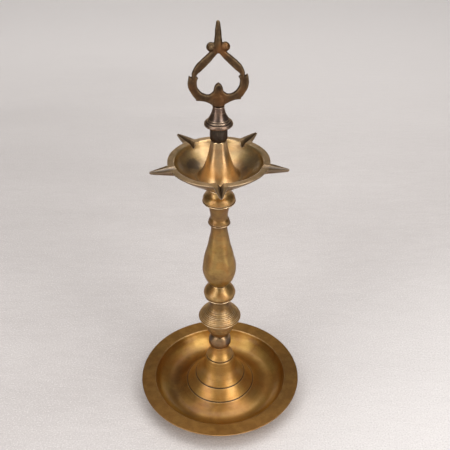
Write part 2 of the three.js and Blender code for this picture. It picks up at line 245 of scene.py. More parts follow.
def finish_piece(obj, body, nodes, material, sharp=38, soften=2, least=0.28):
    """Marks a piece's edges and creases for wear and painted light and shade, shades it, and says which
    body it rides on and which nodes it stands for.
    """
    edge_marks(obj, soften, least)
    obj.data.polygons.foreach_set("use_smooth", [True] * len(obj.data.polygons))
    obj.data.set_sharp_from_angle(angle=math.radians(sharp))
    obj.data.materials.clear()
    obj.data.materials.append(material)
    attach(obj, body)
    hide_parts(*nodes)
    return obj


def apply_modifiers(obj):
    """Turns the object's modifiers into plain mesh."""
    graph = bpy.context.evaluated_depsgraph_get()
    mesh = bpy.data.meshes.new_from_object(obj.evaluated_get(graph))
    old = obj.data
    obj.modifiers.clear()
    obj.data = mesh
    bpy.data.meshes.remove(old)


def drop(obj):
    """Removes an object with its mesh."""
    mesh = obj.data
    bpy.data.objects.remove(obj)
    bpy.data.meshes.remove(mesh)


def combine(obj, others, operation):
    """Adds or takes away other closed solids, which are then gone."""
    for other in others:
        m = obj.modifiers.new("combine", "BOOLEAN")
        m.operation = operation
        m.solver = "MANIFOLD"
        m.object = other
        bpy.context.view_layer.update()
        apply_modifiers(obj)
        drop(other)


def foot_of(node):
    """The height of a node's lowest point, in metres."""
    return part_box(node)[0].z


# ---------------------------------------------------------------- materials

class Nodes:
    """A short way to write a material's nodes."""

    def __init__(self, name):
        self.material = bpy.data.materials.new(name)
        self.material.use_nodes = True
        self.tree = self.material.node_tree
        self.shader = next(n for n in self.tree.nodes if n.type == "BSDF_PRINCIPLED")
        place = self.add("ShaderNodeTexCoord").outputs["Object"]
        self.place = place
        parts = self.add("ShaderNodeSeparateXYZ", {0: place})
        self.x, self.y, self.z = parts.outputs
        flat = self.add("ShaderNodeCombineXYZ", {0: self.x, 1: self.y}).outputs[0]
        self.radius = self.vector("LENGTH", flat, flat).outputs["Value"]

    def add(self, kind, inputs=None, **settings):
        node = self.tree.nodes.new(kind)
        for k, v in settings.items():
            setattr(node, k, v)
        for k, v in (inputs or {}).items():
            self.put(node.inputs[k], v)
        return node

    def put(self, socket, value):
        if isinstance(value, bpy.types.NodeSocket):
            self.tree.links.new(value, socket)
        else:
            socket.default_value = value

    def math(self, operation, a, b=0.0, c=0.0, clamp=False):
        node = self.add("ShaderNodeMath", {0: a, 1: b, 2: c}, operation=operation, use_clamp=clamp)
        return node.outputs[0]

    def product(self, a, b, clamp=False):
        return self.math("MULTIPLY", a, b, clamp=clamp)

    def vector(self, operation, a, b):
        return self.add("ShaderNodeVectorMath", {0: a, 1: b}, operation=operation)

    def scaled(self, scale):
        """The place stretched by a scale along each axis."""
        return self.vector("MULTIPLY", self.place, scale).outputs[0]

    def away(self, centre):
        """The distance from a point."""
        return self.vector("DISTANCE", self.place, centre).outputs["Value"]

    def noise(self, scale, detail=4.0, rough=0.55, place=None, distortion=0.0):
        sockets = {
            "Vector": place or self.place,
            "Scale": scale,
            "Detail": detail,
            "Roughness": rough,
            "Distortion": distortion,
        }
        return self.add("ShaderNodeTexNoise", sockets).outputs["Fac"]

    def span(self, value, low, high, to_low=0.0, to_high=1.0, smooth=True):
        kind = "SMOOTHSTEP" if smooth else "LINEAR"
        return self.add(
            "ShaderNodeMapRange",
            {0: value, 1: low, 2: high, 3: to_low, 4: to_high},
            interpolation_type=kind,
        ).outputs[0]

    def ramp(self, value, stops):
        node = self.add("ShaderNodeValToRGB", {0: value})
        points = node.color_ramp.elements
        points[0].position, points[0].color = stops[0][0], (*stops[0][1], 1)
        points[1].position, points[1].color = stops[-1][0], (*stops[-1][1], 1)
        for at, colour in stops[1:-1]:
            points.new(at).color = (*colour, 1)
        return node.outputs[0]

    def mix(self, share, a, b, how="MIX"):
        node = self.add("ShaderNodeMix", data_type="RGBA", blend_type=how)
        for socket, value in ((node.inputs[0], share), (node.inputs[6], a), (node.inputs[7], b)):
            self.put(socket, (*value, 1) if isinstance(value, tuple) else value)
        return node.outputs[2]

    def bump(self, height, strength, distance, below=None):
        """Relief in metres, laid over the relief below it."""
        node = self.add("ShaderNodeBump", {"Height": height, "Strength": strength, "Distance": distance})
        if below:
            self.put(node.inputs["Normal"], below)
        return node.outputs[0]

    def mark(self, name):
        return self.add("ShaderNodeAttribute", attribute_name=name).outputs["Fac"]

    def spot(self, centre, reach, ragged=0.35):
        """A ragged round patch: 1 in its middle and 0 outside."""
        rough = self.math("MULTIPLY_ADD", self.noise(190, 3), reach * ragged * 2, self.away(centre))
        return self.span(rough, reach * (0.35 + ragged), reach * (1.0 + ragged), 1.0, 0.0)


def brass(
    name,
    tones,
    wear_and_glint_colour,
    pit_and_shade_colour,
    rough=(0.25, 0.42),
    stretch=0.55,
    blotch=75,
    lines=0.35,
    line_scale=1500,
    grain=0.12,
    grain_scale=900,
    pits=0.0,
    edge=0.8,
    crease=0.85,
    film=0.65,
    film_bend=1.5,
    paint=None,
):
    """Oily metal with blotchy tone, tool lines round the axis, a cast grain, bright edges that are partly
    rubbed wear and partly a painted highlight, and painted shade in the creases.
    paint(nodes, colour, roughness) may lay the piece's own stains and painted shade on top and returns
    both."""
    n = Nodes(name)
    settings = {
        "Metallic": 1.0,
        "Anisotropic": stretch,
        "Anisotropic Rotation": 0.25,
        "Specular Tint": (0.5, 0.36, 0.2, 1),
        "Coat Weight": film,
        "Coat Roughness": 0.28,
        "Coat IOR": film_bend,
    }
    for socket, value in settings.items():
        n.put(n.shader.inputs[socket], value)
    if stretch:
        tangent = n.add("ShaderNodeTangent", direction_type="RADIAL", axis="Z")
        n.put(n.shader.inputs["Tangent"], tangent.outputs[0])
    round_place = n.add("ShaderNodeCombineXYZ", {0: n.radius, 2: n.z}).outputs[0]
    line_place = n.vector("ADD", round_place, n.scaled((0.02, 0.02, 0.02))).outputs[0]
    big = n.noise(blotch, 6, 0.62, distortion=0.4)
    small = n.noise(grain_scale, 3, 0.6)
    ring = n.noise(line_scale, 3, 0.65, place=line_place)
    fine = n.math("MULTIPLY_ADD", ring, 0.18, n.product(small, 0.12))
    tone = n.math("MULTIPLY_ADD", big, 0.7, fine)
    colour = n.ramp(tone, [(0.3, tones[0]), (0.44, tones[1]), (0.56, tones[2]), (0.72, tones[3])])
    roughness = n.span(tone, 0.36, 0.64, rough[1], rough[0])
    ruddy = n.span(n.noise(blotch * 0.7, 5, 0.6, distortion=0.8), 0.42, 0.66)
    colour = n.mix(n.product(ruddy, 0.6), colour, (1.08, 0.84, 0.6), "MULTIPLY")
    olive = n.span(n.noise(blotch * 0.55, 5, 0.6, place=line_place), 0.45, 0.68)
    colour = n.mix(n.product(olive, 0.55), colour, (0.8, 0.86, 0.62), "MULTIPLY")
    # edges lightened: partly rubbed wear, partly a painted highlight standing in for edge glints
    rubbed_and_glinting = n.product(n.mark("edge"), n.span(n.noise(260, 3), 0.3, 0.6, 0.35, 1.0))
    rubbed_and_glinting = n.product(rubbed_and_glinting, edge, clamp=True)
    colour = n.mix(rubbed_and_glinting, colour, wear_and_glint_colour)
    roughness = n.math("MULTIPLY_ADD", rubbed_and_glinting, -0.14, roughness)
    # painted shade: creases darkened in colour and made rougher; the same colour also darkens the cast pits
    crease_shade = n.product(n.mark("crease"), n.span(n.noise(160, 4), 0.25, 0.6, 0.45, 1.0))
    crease_shade = n.product(crease_shade, crease, clamp=True)
    colour = n.mix(crease_shade, colour, pit_and_shade_colour)
    roughness = n.math("MULTIPLY_ADD", crease_shade, 0.3, roughness)
    if pits:
        hole = n.span(n.noise(1300, 2, 0.5), 0.66, 0.78)
        colour = n.mix(n.product(hole, pits), colour, pit_and_shade_colour)
        roughness = n.math("MULTIPLY_ADD", hole, 0.2 * pits, roughness)
    if paint:
        colour, roughness = paint(n, colour, roughness)
    n.put(n.shader.inputs["Base Color"], colour)
    n.put(n.shader.inputs["Roughness"], n.math("MAXIMUM", roughness, 0.08))
    relief = n.bump(ring, lines, 0.06 * MM)
    relief = n.bump(small, grain, 0.18 * MM, relief)
    relief = n.bump(big, 0.16, 0.8 * MM, relief)
    n.put(n.shader.inputs["Normal"], relief)
    return n.material


def tray_patina(n, colour, roughness):
    """Dark oil patina in the trough, heaviest on its left, painted shade in the cut lines round the cone
    and under its neck, and a matt blotchy rim.
    """
    left = n.span(n.x, -0.045, 0.035, 1.0, 0.35)
    trough = n.product(n.span(n.radius, 0.030, 0.036), n.span(n.radius, 0.048, 0.060, 1.0, 0.0))
    ragged = n.span(n.noise(42, 5, 0.6), 0.3, 0.62, 0.35, 1.0)
    stain = n.product(n.product(trough, ragged), left)
    colour = n.mix(n.product(stain, 0.9), colour, (0.13, 0.056, 0.012))
    ruddy = n.span(n.noise(26, 5, 0.6, distortion=0.6), 0.45, 0.66)
    colour = n.mix(n.product(ruddy, 0.35), colour, (0.3, 0.125, 0.028))
    roughness = n.math("MULTIPLY_ADD", stain, 0.05, roughness)
    # painted shade: the cut lines round the cone and the line under the neck are darkened in colour
    cut_line_shade = (0.03, 0.015, 0.005)
    for at in CONE_LINES:
        off = n.math("ABSOLUTE", n.math("SUBTRACT", n.radius, at * MM))
        cut = n.span(off, 0.15 * MM, 0.45 * MM, 0.9, 0.0)
        colour = n.mix(cut, colour, cut_line_shade)
        roughness = n.math("MULTIPLY_ADD", cut, 0.3, roughness)
    off = n.math("ABSOLUTE", n.math("SUBTRACT", n.z, NECK_LINE * MM))
    colour = n.mix(n.span(off, 0.2 * MM, 0.6 * MM, 0.9, 0.0), colour, cut_line_shade)
    r, h = TRAY_RIM
    rim = n.product(
        n.span(n.radius, (r - 0.5) * MM, (r + 0.5) * MM),
        n.span(n.z, (h - 1.5) * MM, (h - 0.4) * MM),
    )
    blotch = n.span(n.noise(120, 6, 0.7), 0.38, 0.66)
    dull = n.mix(blotch, (0.2, 0.092, 0.02), (0.29, 0.146, 0.037))
    colour = n.mix(n.product(rim, 0.85), colour, dull)
    return colour, roughness


def bowl_stains(n, colour, roughness):
    """Burnt oil inside the bowl, painted shade darkening the spire toward its top, a dull flat rim, and
    painted shade under the rim and on its outer side.
    """
    foot = foot_of("lamp_bowl")
    top = foot + RIM * MM
    inside = n.product(n.span(n.radius, 0.0135, 0.0185), n.span(n.radius, 0.0362, 0.0371, 1.0, 0.0))
    inside = n.product(inside, n.span(n.z, 0.2495, 0.2512))
    smoky = n.span(n.noise(70, 6, 0.65), 0.32, 0.66, 0.3, 1.0)
    smoke = n.product(n.product(inside, smoky), 0.52)
    colour = n.mix(smoke, colour, (0.22, 0.122, 0.045))
    roughness = n.math("MULTIPLY_ADD", inside, 0.07, roughness)
    for centre, reach, depth in (
        ((-0.0215, 0.0125, 0.255), 0.0095, 0.8),
        ((0.0262, 0.012, 0.2575), 0.012, 0.4),
        ((0.0205, 0.0045, 0.2525), 0.008, 0.5),
        ((-0.028, 0.004, 0.257), 0.011, 0.4),
    ):
        patch = n.product(n.product(n.spot(centre, reach, 0.6), inside), depth)
        colour = n.mix(patch, colour, (0.055, 0.03, 0.012))
        roughness = n.math("MULTIPLY_ADD", patch, 0.12, roughness)
    # painted shade: the spire darkened toward its top
    spire = n.product(n.span(n.z, 0.262, 0.281), n.span(n.radius, 0.014, 0.016, 0.85, 0.0))
    colour = n.mix(spire, colour, (0.64, 0.6, 0.57), "MULTIPLY")
    beyond = n.span(n.radius, 0.0368, 0.0374)
    rim = n.product(n.span(n.z, 0.262, 0.2655), beyond)
    dull = n.mix(n.span(n.noise(150, 5, 0.65), 0.35, 0.65), (0.29, 0.185, 0.09), (0.46, 0.315, 0.175))
    colour = n.mix(n.product(rim, 0.82), colour, dull)
    roughness = n.math("MULTIPLY_ADD", rim, 0.18, roughness)
    # painted shade under the rim's overhang on the outside of the bowl
    outer = n.math("MULTIPLY_ADD", n.radius, -0.76, n.z)
    outer = n.span(outer, foot - 0.0061, foot - 0.0067)
    under = n.product(outer, n.span(n.radius, 0.022, 0.034))
    under = n.product(under, n.span(n.noise(90, 4), 0.3, 0.6, 0.6, 1.0))
    colour = n.mix(n.product(under, 0.6), colour, (0.09, 0.05, 0.018))
    # painted shade on the rim's outer upright side
    side = n.product(n.span(n.radius, 0.0420, 0.0423), n.span(n.z, top - 0.0002, top - 0.0006))
    colour = n.mix(n.product(side, 0.65), colour, (0.15, 0.088, 0.036))
    burnt = n.product(n.mark("burnt"), n.span(n.noise(210, 4), 0.3, 0.6, 0.7, 1.0))
    colour = n.mix(n.product(burnt, 0.85), colour, (0.06, 0.036, 0.018))
    roughness = n.math("MULTIPLY_ADD", burnt, 0.2, roughness)
    return colour, roughness


def shade_under_overhangs(*bands, upward_shade=None):
    """Painted shade under an overhang, from one height to another in millimetres for each band,
    and painted shade that deepens upward between two heights."""

    def paint(n, colour, roughness):
        if upward_shade:
            # painted shade: the piece darkened upward between the two heights
            upward_shade_share = n.span(n.z, upward_shade[0] * MM, upward_shade[1] * MM, 0.0, 0.9)
            colour = n.mix(upward_shade_share, colour, (0.66, 0.6, 0.58), "MULTIPLY")
        # painted shade in the band under each overhang
        for low, high in bands:
            share = n.span(n.z, low * MM, high * MM)
            if high - low < 8:  # a short band stops at the overhang
                stop = n.span(n.z, (high + 0.3) * MM, (high + 0.7) * MM, 1.0, 0.0)
                share = n.product(share, stop)
            share = n.product(share, n.span(n.noise(180, 4), 0.25, 0.6, 0.55, 1.0))
            colour = n.mix(n.product(share, 0.78), colour, (0.075, 0.038, 0.012))
            roughness = n.math("MULTIPLY_ADD", share, 0.12, roughness)
        return colour, roughness

    return paint


def bead_spots(n, colour, roughness):
    """Two dark patches painted on the bead's upper front sides."""
    for centre, reach in (((-0.0092, -0.0045, 0.0712), 0.0045), ((0.0088, -0.006, 0.0685), 0.0056)):
        patch = n.product(n.spot(centre, reach), 0.85)
        colour = n.mix(patch, colour, (0.055, 0.032, 0.024))
    return colour, roughness


def loop_patches(n, colour, roughness):
    """Reddish copper patches where the casting has been rubbed, at the scroll balls and the foot."""
    for centre, reach, depth in (
        ((0.003, -0.003, 0.3605), 0.0075, 0.7),
        ((0.006, -0.003, 0.363), 0.004, 0.35),
        ((0.002, -0.003, 0.3215), 0.010, 0.4),
        ((-0.0215, -0.002, 0.331), 0.006, 0.3),
        ((0.0185, -0.002, 0.327), 0.006, 0.3),
    ):
        patch = n.product(n.spot(centre, reach), depth)
        colour = n.mix(patch, colour, (0.2, 0.085, 0.028))
    return colour, roughness


TRAY = brass(
    "tray_brass",
    [(0.25, 0.112, 0.022), (0.39, 0.193, 0.042), (0.49, 0.27, 0.068), (0.62, 0.38, 0.12)],
    wear_and_glint_colour=(0.78, 0.58, 0.32),
    pit_and_shade_colour=(0.09, 0.045, 0.012),
    rough=(0.4, 0.53),
    stretch=0.4,
    blotch=48,
    lines=0.5,
    grain=0.1,
    pits=0.35,
    edge=0.75,
    paint=tray_patina,
    film=0.5,
)
BEAD = brass(
    "bead_brass",
    [(0.15, 0.082, 0.033), (0.235, 0.135, 0.058), (0.31, 0.19, 0.09), (0.42, 0.28, 0.145)],
    wear_and_glint_colour=(0.75, 0.55, 0.38),
    pit_and_shade_colour=(0.1, 0.05, 0.02),
    rough=(0.3, 0.42),
    stretch=0.3,
    blotch=170,
    crease=0.4,
    lines=0.15,
    grain=0.1,
    paint=bead_spots,
)
GROOVED = brass(
    "grooved_brass",
    [(0.2, 0.102, 0.03), (0.31, 0.17, 0.053), (0.41, 0.24, 0.08), (0.54, 0.34, 0.135)],
    wear_and_glint_colour=(0.8, 0.6, 0.36),
    pit_and_shade_colour=(0.1, 0.055, 0.02),
    rough=(0.42, 0.55),
    stretch=0.35,
    blotch=120,
    lines=0.6,
    line_scale=1900,
    edge=0.9,
    paint=shade_under_overhangs((103, 119), (93, 97)),
    film=0.4,
)
TURNED = brass(
    "turned_brass",
    [(0.2, 0.105, 0.028), (0.32, 0.178, 0.055), (0.42, 0.252, 0.085), (0.56, 0.365, 0.14)],
    wear_and_glint_colour=(0.85, 0.65, 0.4),
    pit_and_shade_colour=(0.08, 0.04, 0.012),
    rough=(0.36, 0.48),
    stretch=0.35,
    blotch=140,
    lines=0.3,
    edge=0.95,
)
CAST = brass(
    "cast_brass",
    [(0.2, 0.108, 0.024), (0.3, 0.17, 0.045), (0.37, 0.225, 0.06), (0.46, 0.28, 0.09)],
    wear_and_glint_colour=(0.75, 0.55, 0.3),
    pit_and_shade_colour=(0.12, 0.065, 0.02),
    rough=(0.38, 0.5),
    stretch=0.25,
    blotch=110,
    lines=0.2,
    grain=0.5,
    grain_scale=620,
    pits=0.5,
    edge=0.95,
    paint=shade_under_overhangs((221.5, 227), (199, 204.3), upward_shade=(175, 208)),
)
POLISHED = brass(
    "polished_brass",
    [(0.33, 0.19, 0.065), (0.47, 0.29, 0.105), (0.6, 0.385, 0.155), (0.75, 0.53, 0.26)],
    wear_and_glint_colour=(0.86, 0.66, 0.4),
    pit_and_shade_colour=(0.1, 0.05, 0.015),
    rough=(0.27, 0.4),
    stretch=0.4,
    blotch=85,
    lines=0.2,
    grain=0.04,
    edge=0.85,
    film=0.8,
    film_bend=1.75,
    paint=bowl_stains,
)
STUD = brass(
    "stud_brass",
    [(0.2, 0.12, 0.04), (0.33, 0.21, 0.08), (0.44, 0.3, 0.13), (0.58, 0.42, 0.2)],
    wear_and_glint_colour=(0.8, 0.6, 0.34),
    pit_and_shade_colour=(0.06, 0.032, 0.012),
    rough=(0.24, 0.4),
    stretch=0.0,
    blotch=220,
    lines=0.1,
)
DARK = brass(
    "dark_bronze",
    [(0.025, 0.019, 0.014), (0.045, 0.034, 0.026), (0.07, 0.052, 0.038), (0.12, 0.09, 0.065)],
    wear_and_glint_colour=(0.24, 0.18, 0.13),
    pit_and_shade_colour=(0.012, 0.009, 0.007),
    rough=(0.38, 0.55),
    stretch=0.2,
    blotch=200,
    lines=0.25,
    grain=0.4,
    pits=0.4,
    film=0.2,
)
GREY = brass(
    "grey_bronze",
    [(0.072, 0.047, 0.036), (0.115, 0.076, 0.06), (0.165, 0.113, 0.09), (0.26, 0.185, 0.148)],
    wear_and_glint_colour=(0.55, 0.4, 0.28),
    pit_and_shade_colour=(0.03, 0.02, 0.014),
    rough=(0.3, 0.44),
    stretch=0.4,
    blotch=180,
    lines=0.3,
    grain=0.15,
    film=0.4,
)
LOOP = brass(
    "loop_bronze",
    [(0.028, 0.016, 0.0088), (0.056, 0.032, 0.016), (0.09, 0.051, 0.024), (0.16, 0.092, 0.045)],
    wear_and_glint_colour=(0.36, 0.25, 0.14),
    pit_and_shade_colour=(0.018, 0.011, 0.007),
    rough=(0.36, 0.52),
    stretch=0.0,
    blotch=130,
    lines=0.0,
    grain=0.9,
    grain_scale=800,
    pits=0.6,
    edge=0.6,
    paint=loop_patches,
    film=0.15,
)


# ---------------------------------------------------------------- pieces

def make_tray():
    top = [
        (5, 60.7),
        (7.8, 60.7),
        *curved((8.4, 57), (9.8, 53), (11.8, 49.8), (13.2, 47.6)),
        (12.9, NECK_LINE + 0.15),
        (12.9, NECK_LINE - 0.15),
        (13.8, 45.4),
        *curved((14.6, 41.8), (16.9, 34), (20.2, 28), (23.4, 24)),
        *line_cut(CONE_LINES[0], 22.8, 0.8, 0.75, -1.3),
        *curved((25.4, 21.3), (28.4, 17.6), (32.3, 13.7)),
        *line_cut(CONE_LINES[1], 12.9, 0.8, 0.75, -1),
        *curved(
            (34.2, 11.9), (36, 10.3), (41, 7), (47, 5), (53.5, 6), (60, 10.4), (63.2, 14.9), (64.6, 17.9)
        ),
        TRAY_RIM,
        (79, TRAY_RIM[1]),
        (79, 18.6),
        (76.6, 16),
    ]
    under = [
        (67.4, 16),
        *curved((64.6, 11.6), (62.6, 8.4), (57.6, 3.6), (53, 2.2), step=1),
        (52.4, 0),
        (46.6, 0),
        (46, 1.8),
        *curved((38.6, 4.8), (31.4, 10.2), (24.2, 17.6), (16.4, 28.6), (11.8, 38), step=1.5),
        (5, 41.5),
    ]
    outline = refine((top + under)[::-1], 0.45, True)
    obj = turned("tray", outline, foot_of("tray_floor"), 208, wobble=0.12, seed=1)
    nodes = ["tray_boss", "tray_cone", "tray_floor", "tray_wall", "tray_rim"]
    finish_piece(obj, "tray", nodes, TRAY)


def make_bead():
    side = [
        (5, 0),
        (7.8, 0),
        *quarter((7.8, 0), (10.8, 4), False),
        *quarter((10.8, 4), (6.4, 14.2), True),
        (5, 14.2),
    ]
    obj = turned("bead", refine(side, 0.35, True), foot_of("base_bead"), 112, wobble=0.15, seed=2)
    finish_piece(obj, "base_ring", ["base_bead"], BEAD)


def make_lower_stem():
    side = [
        (0, 13.3),
        (4.8, 13.3),
        (4.8, 0),
        (8.2, 0),
        *curved((9.2, 1.4), (10.6, 3.5), (12.8, 8.5), (13.5, 13.9)),
        (13.5, 21.1),
        (19.1, 21.6),
        *lip(20, 21.9),
        *curved((19.2, 23.9), (18.7, 25), (16.7, 27.4), (12.9, 31.1), (10, 34.9), (9, 38.5), step=0.2),
        (8.8, 46.9),
        (5, 46.9),
        (5, 32.9),
        (0, 32.9),
    ]
    outline = refine(side, 0.2, False)
    outline = grooved(outline, 24.4, 34, 1.6, 0.27, 5)
    outline = grooved(outline, 2.2, 15.5, 2.6, 0.24, 8)
    obj = turned("lower_stem_ring", outline, foot_of("lower_stem"), 128)
    finish_piece(obj, "lower_stem", ["lower_stem"], GROOVED)


def make_disc():
    side = [
        (5, 0),
        *lip(14),
        *curved((13.6, 1.7), (14.5, 3.1), (14.6, 4.9), (13.7, 7.5), (12, 10), (10.1, 12), (8.6, 13.4)),
        (7.9, 14.5),
        (5, 14.5),
    ]
    outline = refine(side, 0.22, True)
    obj = turned("middle_disc_ring", outline, foot_of("middle_disc"), 128, wobble=0.1, seed=3)
    finish_piece(obj, "middle_ring", ["middle_disc"], TURNED)


def make_upper_stem():
    side = [
        (0, 13.3),
        (4.8, 13.3),
        (4.8, 0),
        *curved(
            (7.8, 0), (10.4, 2.5), (12.9, 6.5), (14.6, 12.1), (15.2, 17.9), (14.6, 24.5), (12.7, 33.5),
            (10.2, 44.5), (8, 55.5), (6.6, 66),
        ),
        (6.7, 66.7),
        (9.0, 66.9),
        *lip(9.7, 67),
        *curved((9.3, 68.9), (8.7, 71.2), (7.7, 73.5), (7.8, 77.5), (8.7, 82.5)),
        (9.4, 87.3),
        (9.4, 89.3),
        (5, 89.3),
        (5, 75.3),
        (0, 75.3),
    ]
    outline = refine(side, 0.3, False)
    obj = turned("upper_stem_pear", outline, foot_of("upper_stem"), 128, wobble=0.45, seed=4)
    finish_piece(obj, "upper_stem", ["upper_stem"], CAST)


def make_seat():
    side = [
        (5, 0),
        *lip(14.4),
        *curved((13.9, 1.8), (13.6, 3.9), (12.4, 6.3), (10.4, 8.3), (9.3, 10.9)),
        (9.2, 12.9),
        (5, 12.9),
    ]
    outline = refine(side, 0.22, True)
    obj = turned("bowl_seat", outline, foot_of("bowl_seat_collar"), 128, wobble=0.1, seed=5)
    finish_piece(obj, "seat_ring", ["bowl_seat_collar"], TURNED)


SPOUTS = 5
BOWL_TURN = math.radians(1.7)
# distance from the axis, half width and depth, along a spout and along its wick channel
BEAK = [
    (33, 7.3, 7.4), (37, 6.8, 6.9), (42, 5.8, 5.6), (47, 4.5, 4.5),
    (51, 3.4, 3.6), (55, 2.2, 2.8), (57.6, 1.4, 2.1), (58.8, 0.7, 1.3),
]
CHANNEL = [
    (34, 2.5, 4.6), (38, 2.5, 4.6), (44, 2.2, 3.8), (50, 1.6, 2.8),
    (54, 1.1, 2), (57, 0.7, 1.2), (61, 0.2, 0.3),
]


def loft(name, sections, foot, turn):
    """A closed solid through rows of points, each anticlockwise as seen from the row's far end."""
    n = len(sections[0])
    verts = np.concatenate([np.array(s, float) for s in sections])
    c, s = math.cos(turn), math.sin(turn)
    verts = np.stack([verts[:, 0] * c - verts[:, 1] * s, verts[:, 0] * s + verts[:, 1] * c, verts[:, 2]], 1)
    faces = [tuple(range(n))[::-1], tuple(range(len(verts) - n, len(verts)))]
    for i in range(len(sections) - 1):
        for k in range(n):
            m = (k + 1) % n
            faces.append((i * n + k, i * n + m, (i + 1) * n + m, (i + 1) * n + k))
    return new_object(name, verts * MM + [0, 0, foot], faces)


def between(stations, r):
    """Half width and depth at a distance from the axis."""
    rs = [s[0] for s in stations]
    return [float(np.interp(r, rs, [s[i] for s in stations])) for i in range(1, len(stations[0]))]


def spout_turn(i):
    """How far spout i is turned from +X. The first faces forward."""
    return BOWL_TURN - math.pi / 2 + i * WHOLE / SPOUTS


def spout(i, foot):
    """A keeled beak that narrows to a rounded tip, with rounded cheeks and its top just under the rim."""
    rows = []
    for r in np.linspace(33, 58.8, 44):
        half, deep = between(BEAK, r)
        row = []
        for a in np.linspace(-math.pi, 0, 17):
            out = abs(math.cos(a)) ** 0.8 * (1 if math.cos(a) > 0 else -1)
            row.append((r, half * out, RIM - 0.05 - deep * abs(math.sin(a)) ** 1.3))
        rows.append(row)
    return loft("spout", rows, foot, spout_turn(i))


def channel(i, foot):
    """The wick channel down the middle of a spout, a V with a rounded bottom that runs out at the tip."""
    rows = []
    for r in np.linspace(34, 61, 40):
        half, deep = between(CHANNEL, r)
        row = [(r, -half - 0.9, RIM + 1.2), (r, -half, RIM)]
        for u in (-0.55, -0.16, 0.0, 0.16, 0.55):
            row.append((r, half * u, RIM - deep * (1 - abs(u) ** 1.25)))
        row += [(r, half, RIM), (r, half + 0.9, RIM + 1.2)]
        rows.append(row)
    return loft("channel", rows, foot, spout_turn(i))


def burning(q):
    """How burnt a point of the bowl is: the inside of the wick channels, most at the bottom."""
    part = WHOLE / SPOUTS
    a = math.atan2(q.y, q.x) - spout_turn(0)
    a -= round(a / part) * part
    reach = math.hypot(q.x, q.y)
    r, across = reach * math.cos(a), abs(reach * math.sin(a))
    if r < 35 or r > 59:
        return 0.0
    half, deep = between(CHANNEL, r)
    below = (RIM - q.z) / deep
    if across > half + 0.05 or below < 0.03 or below > 1.15 - 0.7 * across / half:
        return 0.0
    return min(1.0, 1.5 * below)


def make_bowl():
    rim_in, rim_out = BOWL_RIM
    dish = curved((36.3, 25), (35.2, 22.8), (32.4, 19.7), (26, 14.9), (22, 12.5), (19.4, 11.4))
    side = [
        (0, 13.3),
        (4.8, 13.3),
        (4.8, 0),
        (9.2, 0),
        (9.6, 1.3),
        *curved((12, 2.5), (17.4, 6.1), (24.4, 10.9), (33, 17.3), (38, 21.2), (39.7, 23.2)),
        (39.8, 24.4),
        (rim_out - 0.5, 24.6),
        (rim_out, 25),
        (rim_out, RIM - 0.2),
        (rim_out - 0.2, RIM),
        (rim_in, RIM),
        (rim_in - 0.7, RIM - 0.6),
        *dish,
        *curved((19, 11.3), (17, 12.6), (13.9, 17.3), (10.7, 25.7), (8.1, 35.1), (6.5, 43.5)),
        (6.2, 45),
        (3.9, 45),
        (3.9, 31),
        (0, 31),
    ]
    foot = foot_of("lamp_bowl")
    obj = turned("oil_bowl", refine(side, 0.45, False), foot, 176)
    hollow = [(r + 0.45, h - 0.3) for r, h in reversed(dish)]
    hollow = [(0, 8), *hollow, (37.4, RIM + 2), (0, RIM + 2)]  # keeps the spouts' roots out of the well
    for i in range(SPOUTS):
        beak = spout(i, foot)
        combine(beak, [turned("hollow", hollow, foot, 96)], "DIFFERENCE")
        combine(obj, [beak], "UNION")
    combine(obj, [channel(i, foot) for i in range(SPOUTS)], "DIFFERENCE")
    burnt = obj.data.attributes.new("burnt", "FLOAT", "POINT")
    for v, mark in zip(obj.data.vertices, burnt.data):
        mark.value = burning(v.co * 1000 - Vector((0, 0, foot * 1000)))
    finish_piece(obj, "bowl", ["lamp_bowl", "bowl_spire"], POLISHED, sharp=30)


def make_collar():
    side = [
        (3.9, 0),
        (6.5, 0),
        *curved((6.8, 0.6), (7.1, 2.4), (7.2, 5.4), (7, 10), (6.7, 12.3)),
        (6.6, 12.6),
        (3.9, 12.6),
    ]
    outline = refine(side, 0.35, True)
    obj = turned("finial_sleeve", outline, foot_of("finial_collar"), 80, wobble=0.25, seed=6)
    finish_piece(obj, "finial_ring", ["finial_collar"], DARK)


def make_knop():
    side = [
        (0, 10.3),
        (3.7, 10.3),
        (3.7, 0),
        (11, 0),
        (11.5, 0.4),
        (11.7, 1.1),
        *quarter((11.7, 1.1), (9.9, 3.1), True),
        (9.5, 3.2),
        (9.3, 3.5),
        (9.4, 4.1),
        (8.9, 4.6),
        (8.4, 4.7),
        (8.2, 5),
        (8.3, 5.7),
        *curved((7.9, 6.2), (7.1, 7.6), (5.9, 10.2), (5, 13.2), (4.65, 15.3)),
        (4.8, 16.1),
        (4.8, 16.6),
        (0, 16.6),
    ]
    outline = refine(side, 0.28, False)
    obj = turned("finial_knop_bead", outline, foot_of("finial_knop"), 104, wobble=0.2, seed=7)
    finish_piece(obj, "finial", ["finial_knop"], GREY)


LOOP_TURN = math.radians(5)
LOOP_THICK = 4.6


def mirrored(half):
    return half + [(-x, z) for x, z in reversed(half)]


def heart():
    """The flat casting's outline and opening, as (x, height)."""
    outline = mirrored(
        [
            (4.6, 0),
            *curved((5.4, 1), (8.9, 3), (13, 4.4), (17.8, 4.8)),
            *curved((17.6, 5.8), (19.6, 8.4), (22.6, 13.6), (23.7, 18.8), (22.7, 25.4)),
            (20.4, 24),
            *curved((20.4, 26.8), (17.9, 32.4), (13.2, 37.4), (7.6, 42.4)),
            (3, 47),
        ]
    )
    opening = mirrored(
        [
            (0.05, 19),
            *curved((2.2, 17.4), (3.3, 15.2), (4.2, 11.8), (7, 9.3)),
            *curved((9.6, 9.4), (13.2, 11.5), (15.9, 15.2), (16.6, 19.2), (16.2, 22.2)),
            (15.4, 23.2),
            (17, 25),
            *curved((15, 27.4), (10.8, 31.2), (5.2, 36.9)),
            (0.05, 43.2),
        ]
    )
    return outline, opening


def shaped(obj, scale, place):
    """Stretches a small solid and moves it, in millimetres."""
    for v in obj.data.vertices:
        v.co = Vector([c * k + p * MM for c, k, p in zip(v.co, scale, place)])
    return obj


